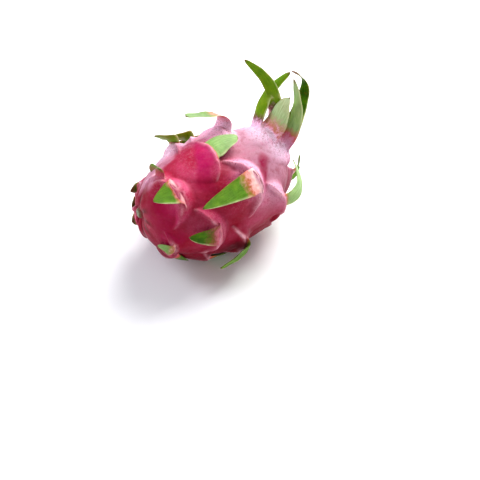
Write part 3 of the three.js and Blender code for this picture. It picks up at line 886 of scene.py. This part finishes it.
def open_cracks(mesh, masks, on_seam, edges):
    """Sinks the crack along the inner side of each seam, and gives its lips a pale painted
    highlight.
    """
    crack, pale_and_highlit = MASKS.index("crack"), MASKS.index("pale_and_highlit")
    line = widened(masks[:, crack] * on_seam, edges, 1, SEAM_KEEP)
    lips = widened(line, edges, CRACK_LIPS, LIP_KEEP) * (1 - smooth(line / 0.3))
    masks[:, crack] = line
    masks[:, pale_and_highlit] = np.maximum(masks[:, pale_and_highlit], lips)
    rise = CRACK_LIP_HEIGHT * lips - CRACK_DEPTH * line
    normals = rows_of(mesh.vertices, "normal", 3)
    move_points(mesh, mesh_points(mesh) + normals * column(rise))


def islands(vertices):
    """Sets of vertices that edges join."""
    left = set(vertices)
    while left:
        island, ahead = set(), {left.pop()}
        while ahead:
            island |= ahead
            ahead = {edge.other_vert(v) for v in ahead for edge in v.link_edges} - island
        left -= island
        yield island


def keep_outer_surface(mesh):
    """Deletes slivers and closed hollows that joining leaves apart from the surface."""
    work = bmesh.new()
    work.from_mesh(mesh)
    outer = max(islands(work.verts), key=len)
    stray = [vertex for vertex in work.verts if vertex not in outer]
    bmesh.ops.delete(work, geom=stray, context="VERTS")
    work.to_mesh(mesh)
    work.free()


def fruit_piece():
    """The whole fruit as one mesh, with its masks."""
    bracts = all_bracts()
    surfaces = [skin_surface(bracts), stub_surface(), scar_surface()]
    surfaces += [blade_surface(b, number) for number, b in enumerate(bracts)]
    parts = [mesh_object(f"part_{i}", v, f) for i, (v, f, _) in enumerate(surfaces)]
    fruit = parts[0]
    combine(fruit, "UNION", parts[1:])
    fruit.name = fruit.data.name = "whole_fruit"
    points = mesh_points(fruit.data)
    edges = rows_of(fruit.data.edges, "vertices", 2, np.int64)
    vertices = np.vstack([v for v, _, _ in surfaces])
    masks, away = nearest_masks(points, vertices, np.vstack([m for _, _, m in surfaces]))
    on_seam = away > ON_SEAM
    points, masks = even_out_seams(points, masks, on_seam, edges)
    move_points(fruit.data, points)
    open_cracks(fruit.data, masks, on_seam, edges)
    store_masks(fruit.data, masks)
    combine(fruit, "DIFFERENCE", [ground_block()])
    keep_outer_surface(fruit.data)
    fruit.data.polygons.foreach_set("use_smooth", [True] * len(fruit.data.polygons))
    return fruit


def store_masks(mesh, masks):
    """Keeps the masks as colour attributes of the mesh."""
    for name, names in MASK_LAYERS.items():
        columns = masks[:, [MASKS.index(mask) for mask in names]]
        layer = mesh.attributes.new(name, "FLOAT_COLOR", "POINT")
        layer.data.foreach_set("color", columns.astype(np.float32).ravel())


# ---- the material
# n: nodes; m: masks. A noise has a scale per metre, a detail and a roughness. A spread has
# two levels of its input and the two shares that they give.
PINK = "#cb567c"
PINK_LIGHT = "#f49fc4"
PINK_PALE = "#f6c3cf"
PINK_GREY = "#b57882"
PINK_DARK = "#8c1c3a"
LILAC = "#f8dcf4"
CRIMSON = "#9a062d"
CRIMSON_SHADE = "#6a031b"
MAGENTA = "#a60a54"
CREAM = "#f7d3cd"
SALMON = "#dd6257"
PLUM = "#6e2b2c"
GREEN = "#5a880a"
GREEN_DEEP = "#2f5800"
GREEN_YELLOW = "#7c9e18"
GREEN_OLIVE = "#4f5408"
BLOOM = "#c2daa8"
RIM = "#6f5a2c"
RIM_PALE = "#dfe2b0"
DRY = "#6a4a38"
CRACK = "#5a0c1c"
WOOD = "#8e8f70"
WOOD_DARK = "#4c3a2c"
STREAK_SQUEEZE = 0.09  # how much longer than wide the streaks of a bract are
SURFACE = {
    "Subsurface Weight": 0.06, "Subsurface Radius": (0.004, 0.0012, 0.001),
    "Subsurface Scale": 1, "Specular IOR Level": 0.1, "Sheen Weight": 0.07,
    "Sheen Roughness": 0.18, "Sheen Tint": (0.9, 0.78, 1, 1)}


def linear(text):
    """A hex sRGB colour as a linear RGBA one."""
    levels = [int(text[i:i + 2], 16) / 255 for i in (1, 3, 5)]
    return [c / 12.92 if c <= 0.04045 else ((c + 0.055) / 1.055) ** 2.4 for c in levels] + [1]


class Nodes:
    """A material's nodes, added with short calls that return an output socket."""

    def __init__(self, name):
        self.material = bpy.data.materials.new(name)
        self.material.use_nodes = True
        self.tree = self.material.node_tree
        self.shader = self.tree.nodes["Principled BSDF"]

    def add(self, kind, inputs=(), **settings):
        node = self.tree.nodes.new(kind)
        for key, value in settings.items():
            setattr(node, key, value)
        for key, value in dict(inputs).items():
            self.put(node.inputs[key], value)
        return node

    def put(self, socket, value):
        """Sets an input to a link, a number or a hex colour."""
        if isinstance(value, bpy.types.NodeSocket):
            self.tree.links.new(value, socket)
        else:
            socket.default_value = linear(value) if isinstance(value, str) else value

    def math(self, operation, a, b=0, clamp=False):
        node = self.add("ShaderNodeMath", {0: a, 1: b}, operation=operation, use_clamp=clamp)
        return node.outputs[0]

    def times(self, a, b):
        return self.math("MULTIPLY", a, b, clamp=True)

    def spread(self, value, low, high, out_low=0, out_high=1):
        """value from low to high, brought to the range out_low to out_high and held there."""
        node = self.add("ShaderNodeMapRange", {
            "Value": value, "From Min": low, "From Max": high,
            "To Min": out_low, "To Max": out_high})
        return node.outputs["Result"]

    def mix(self, share, a, b):
        return self.add("ShaderNodeMix", {0: share, 6: a, 7: b}, data_type="RGBA").outputs[2]

    def paint(self, colour, over, mask, noise, *levels):
        """A colour with another over it, where a mask and the spread of a noise say so."""
        return self.mix(self.times(mask, self.spread(noise, *levels)), colour, over)

    def noise(self, vector, scale, detail=2, rough=0.5):
        node = self.add("ShaderNodeTexNoise", {
            "Vector": vector, "Scale": scale, "Detail": detail, "Roughness": rough})
        return node.outputs["Fac"]

    def bump(self, height, strength, distance, **more):
        inputs = {"Height": height, "Strength": strength, "Distance": distance, **more}
        return self.add("ShaderNodeBump", inputs).outputs["Normal"]

    def masks(self):
        """The stored masks as sockets, by name."""
        found = {}
        for layer, names in MASK_LAYERS.items():
            node = self.add("ShaderNodeAttribute", attribute_name=layer)
            split = self.add("ShaderNodeSeparateColor", {0: node.outputs["Color"]})
            found.update(zip(names, [*split.outputs, node.outputs["Alpha"]]))
        return found


def skin_colour(n, place, m):
    """Mottled pink with painted shade in the hollows and underneath, pale ridges with painted
    highlight, and paler towards the crown with painted sheen where it faces up.
    """
    blotch = n.noise(place, 45, 3)
    mottle = n.noise(place, 190, 4, 0.6)
    speck = n.noise(place, 520, 3, 0.7)
    grain = n.noise(place, 800, 2)
    colour = n.mix(n.spread(blotch, 0.35, 0.68), CRIMSON, PINK)
    # Paler towards the crown, with painted highlight and painted lilac reflection where the skin
    # faces up or lies in the sheen patches.
    colour = n.paint(colour, PINK_LIGHT, m["wax"], blotch, 0.3, 0.65, 0.55, 1)
    colour = n.paint(colour, LILAC, m["wax"], mottle, 0.22, 0.56, 0.25, 1)
    colour = n.mix(n.spread(mottle, 0.5, 0.74, 0, 0.4), colour, CRIMSON)
    colour = n.paint(colour, MAGENTA, m["magenta"], mottle, 0.3, 0.6, 0.95, 0.6)
    # Painted shade: crimson in the hollows, grooves, stem folds and underneath.
    colour = n.paint(colour, CRIMSON, m["painted_shade"], mottle, 0.25, 0.6, 0.6, 1)
    colour = n.mix(n.math("POWER", m["painted_shade"], 2), colour, CRIMSON_SHADE)
    # Painted highlight, partly the ridges' own pale colour, on the axil ridges and the lips of
    # the cracks.
    colour = n.paint(colour, PINK_PALE, m["pale_and_highlit"], mottle, 0.3, 0.6, 0.3, 0.85)
    speckled = n.times(n.spread(m["wax"], 0, 0.6, 0.75, 1), n.spread(m["painted_shade"], 0, 0.7, 1, 0))
    speckled = n.times(speckled, n.spread(m["magenta"], 0, 1, 1, 0.2))
    colour = n.paint(colour, PINK_GREY, speckled, speck, 0.5, 0.66, 0, 0.3)
    colour = n.paint(colour, PINK_GREY, speckled, grain, 0.54, 0.7, 0, 0.45)
    return n.paint(colour, PINK_DARK, speckled, grain, 0.32, 0.47, 0.65, 0)


def leaf_colour(n, place, m):
    """Green with fine streaks along the bract, uneven margins and a dry tip."""
    along = n.add("ShaderNodeCombineXYZ", {
        "X": m["across"], "Y": n.math("MULTIPLY", m["along"], STREAK_SQUEEZE)})
    streak = n.noise(along.outputs[0], 1.1, 3, 0.6)
    patch = n.noise(place, 110, 3, 0.6)
    grain = n.noise(place, 1500, 2, 0.6)
    tone = n.math("ADD", m["tone"], n.spread(streak, 0.3, 0.7, -0.14, 0.14))
    tone = n.math("ADD", tone, n.spread(patch, 0.3, 0.7, -0.25, 0.25), clamp=True)
    low = n.mix(n.spread(tone, 0, 0.5), GREEN_DEEP, GREEN)
    colour = n.mix(n.spread(tone, 0.5, 1), low, GREEN_YELLOW)
    colour = n.mix(n.spread(grain, 0.5, 0.72, 0, 0.35), colour, GREEN_OLIVE)
    colour = n.paint(colour, BLOOM, m["bloom"], streak, 0.3, 0.6, 0.6, 1)
    colour = n.paint(colour, RIM, m["rim"], patch, 0.35, 0.6, 0.05, 0.5)
    colour = n.paint(colour, RIM_PALE, m["edge"], patch, 0.3, 0.6, 0.2, 0.8)
    dry = n.math("ADD", m["dry"], n.times(m["rim"], n.math("MULTIPLY", m["dry"], 2)), clamp=True)
    return n.paint(colour, DRY, dry, streak, 0.3, 0.55, 0.6, 1), streak


def blushed(n, place, m, skin, leaf):
    """The skin's pink, giving way to the green of the bracts along a ragged border."""
    ragged = n.noise(place, 320, 3, 0.55)
    uneven = n.math("MULTIPLY", n.spread(ragged, 0.3, 0.7, -0.1, 0.1),
                    n.spread(m["green"], 0, 0.15))
    green = n.math("ADD", m["green"], uneven)
    base = n.mix(m["cream"], skin, CREAM)
    border = n.mix(m["plum"], SALMON, PLUM)
    colour = n.paint(base, border, n.spread(green, 0.1, 0.45), ragged, 0.3, 0.6, 0.55, 1)
    return n.mix(n.spread(green, 0.34, 0.72), colour, leaf)


def fruit_material():
    """Skin, bracts and wood in one material, told apart by the masks."""
    n = Nodes("dragon_fruit")
    place = n.add("ShaderNodeTexCoord").outputs["Object"]
    m = n.masks()
    skin = skin_colour(n, place, m)
    leaf, streak = leaf_colour(n, place, m)
    colour = blushed(n, place, m, skin, leaf)
    bark = n.mix(n.noise(place, 400, 4), WOOD_DARK, WOOD)
    colour = n.mix(m["wood"], colour, bark)
    colour = n.mix(n.spread(m["crack"], 0.15, 0.7), colour, CRACK)
    n.put(n.shader.inputs["Base Color"], colour)
    pores = n.noise(place, 1500, 3, 0.6)
    dents = n.noise(place, 300, 3)
    normal = n.bump(dents, 0.25, 0.0008)
    normal = n.bump(pores, 0.3, 0.0003, Normal=normal)
    normal = n.bump(n.times(streak, m["green"]), 0.3, 0.0003, Normal=normal)
    n.put(n.shader.inputs["Normal"], normal)
    n.put(n.shader.inputs["Roughness"], n.spread(dents, 0.3, 0.7, 0.36, 0.5))
    for name, value in SURFACE.items():
        n.shader.inputs[name].default_value = value
    return n.material


# ---- camera, floor and lights
def photo_camera():
    """A camera that sees the fruit as the photograph does."""
    azimuth, elevation = math.radians(VIEW_AZIMUTH), math.radians(VIEW_ELEVATION)
    towards_eye = Vector((math.sin(azimuth) * math.cos(elevation),
                          -math.cos(azimuth) * math.cos(elevation), math.sin(elevation)))
    right = (-towards_eye).cross(Vector((0, 0, 1))).normalized()
    up = towards_eye.cross(right)
    focal_pixels = VIEW_LENS / VIEW_SENSOR * FRAME_PIXELS
    across = (BODY_PIXEL[0] - FRAME_PIXELS / 2) / focal_pixels * VIEW_DISTANCE
    above = (FRAME_PIXELS / 2 - BODY_PIXEL[1]) / focal_pixels * VIEW_DISTANCE
    body = Vector((0, 0, CENTRE_Z))
    place = body - right * across - up * above + towards_eye * VIEW_DISTANCE
    data = bpy.data.cameras.new("camera")
    data.lens, data.sensor_width = VIEW_LENS, VIEW_SENSOR
    camera = add_object("camera", data)
    camera.matrix_world = Matrix((right, up, towards_eye)).transposed().to_4x4()
    camera.matrix_world.translation = place * MM
    bpy.context.scene.camera = camera


FLOOR = 3  # metres
FLOOR_COLOUR, FLOOR_ROUGHNESS = (0.86, 0.86, 0.87, 1), 0.6
WORLD_STRENGTH = 0.32
LIGHTS = (  # name, place and side in metres, watts and colour
    ("window", (0.75, 0.2, 0.8), 0.8, 20, (1, 1, 1)),
    ("fill", (-0.5, -0.8, 0.5), 0.8, 2.5, (1, 1, 1)),
    ("sky", (-0.5, 0.8, 0.7), 0.6, 7, (0.86, 0.88, 1)),
)


def floor_piece():
    half = FLOOR / 2 / MM
    corners = np.array([(-half, -half, 0), (half, -half, 0), (half, half, 0), (-half, half, 0)])
    floor = mesh_object("floor", corners, [(0, 1, 2, 3)])
    n = Nodes("pale_floor")
    n.shader.inputs["Base Color"].default_value = FLOOR_COLOUR
    n.shader.inputs["Roughness"].default_value = FLOOR_ROUGHNESS
    floor.data.materials.append(n.material)
    return floor


def soft_light(name, place, size, watts, colour):
    """A square light, turned to the fruit."""
    data = bpy.data.lights.new(name, "AREA")
    data.size, data.energy, data.color = size, watts, colour
    light = add_object(name, data)
    light.location = place
    aim = Vector((0, 0, CENTRE_Z * MM)) - light.location
    light.rotation_euler = aim.to_track_quat("-Z", "Y").to_euler()


def studio():
    """A white world, the lights and the look of the picture."""
    world = bpy.data.worlds.new("world")
    bpy.context.scene.world = world
    world.use_nodes = True
    background = world.node_tree.nodes["Background"]
    background.inputs["Color"].default_value = (1, 1, 1, 1)
    background.inputs["Strength"].default_value = WORLD_STRENGTH
    for light in LIGHTS:
        soft_light(*light)
    view = bpy.context.scene.view_settings
    view.view_transform, view.look = "Standard", "Medium High Contrast"


# ---- the scene
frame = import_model()
cad_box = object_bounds()
photo_camera()
fruit = fruit_piece()
fruit.data.materials.clear()
fruit.data.materials.append(fruit_material())
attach(fruit, "root")
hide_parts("fruit")
floor_piece()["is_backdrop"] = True
studio()
boxes = {"cad": cad_box, "visual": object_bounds()}
{name: [list(corner) for corner in box] for name, box in boxes.items()}
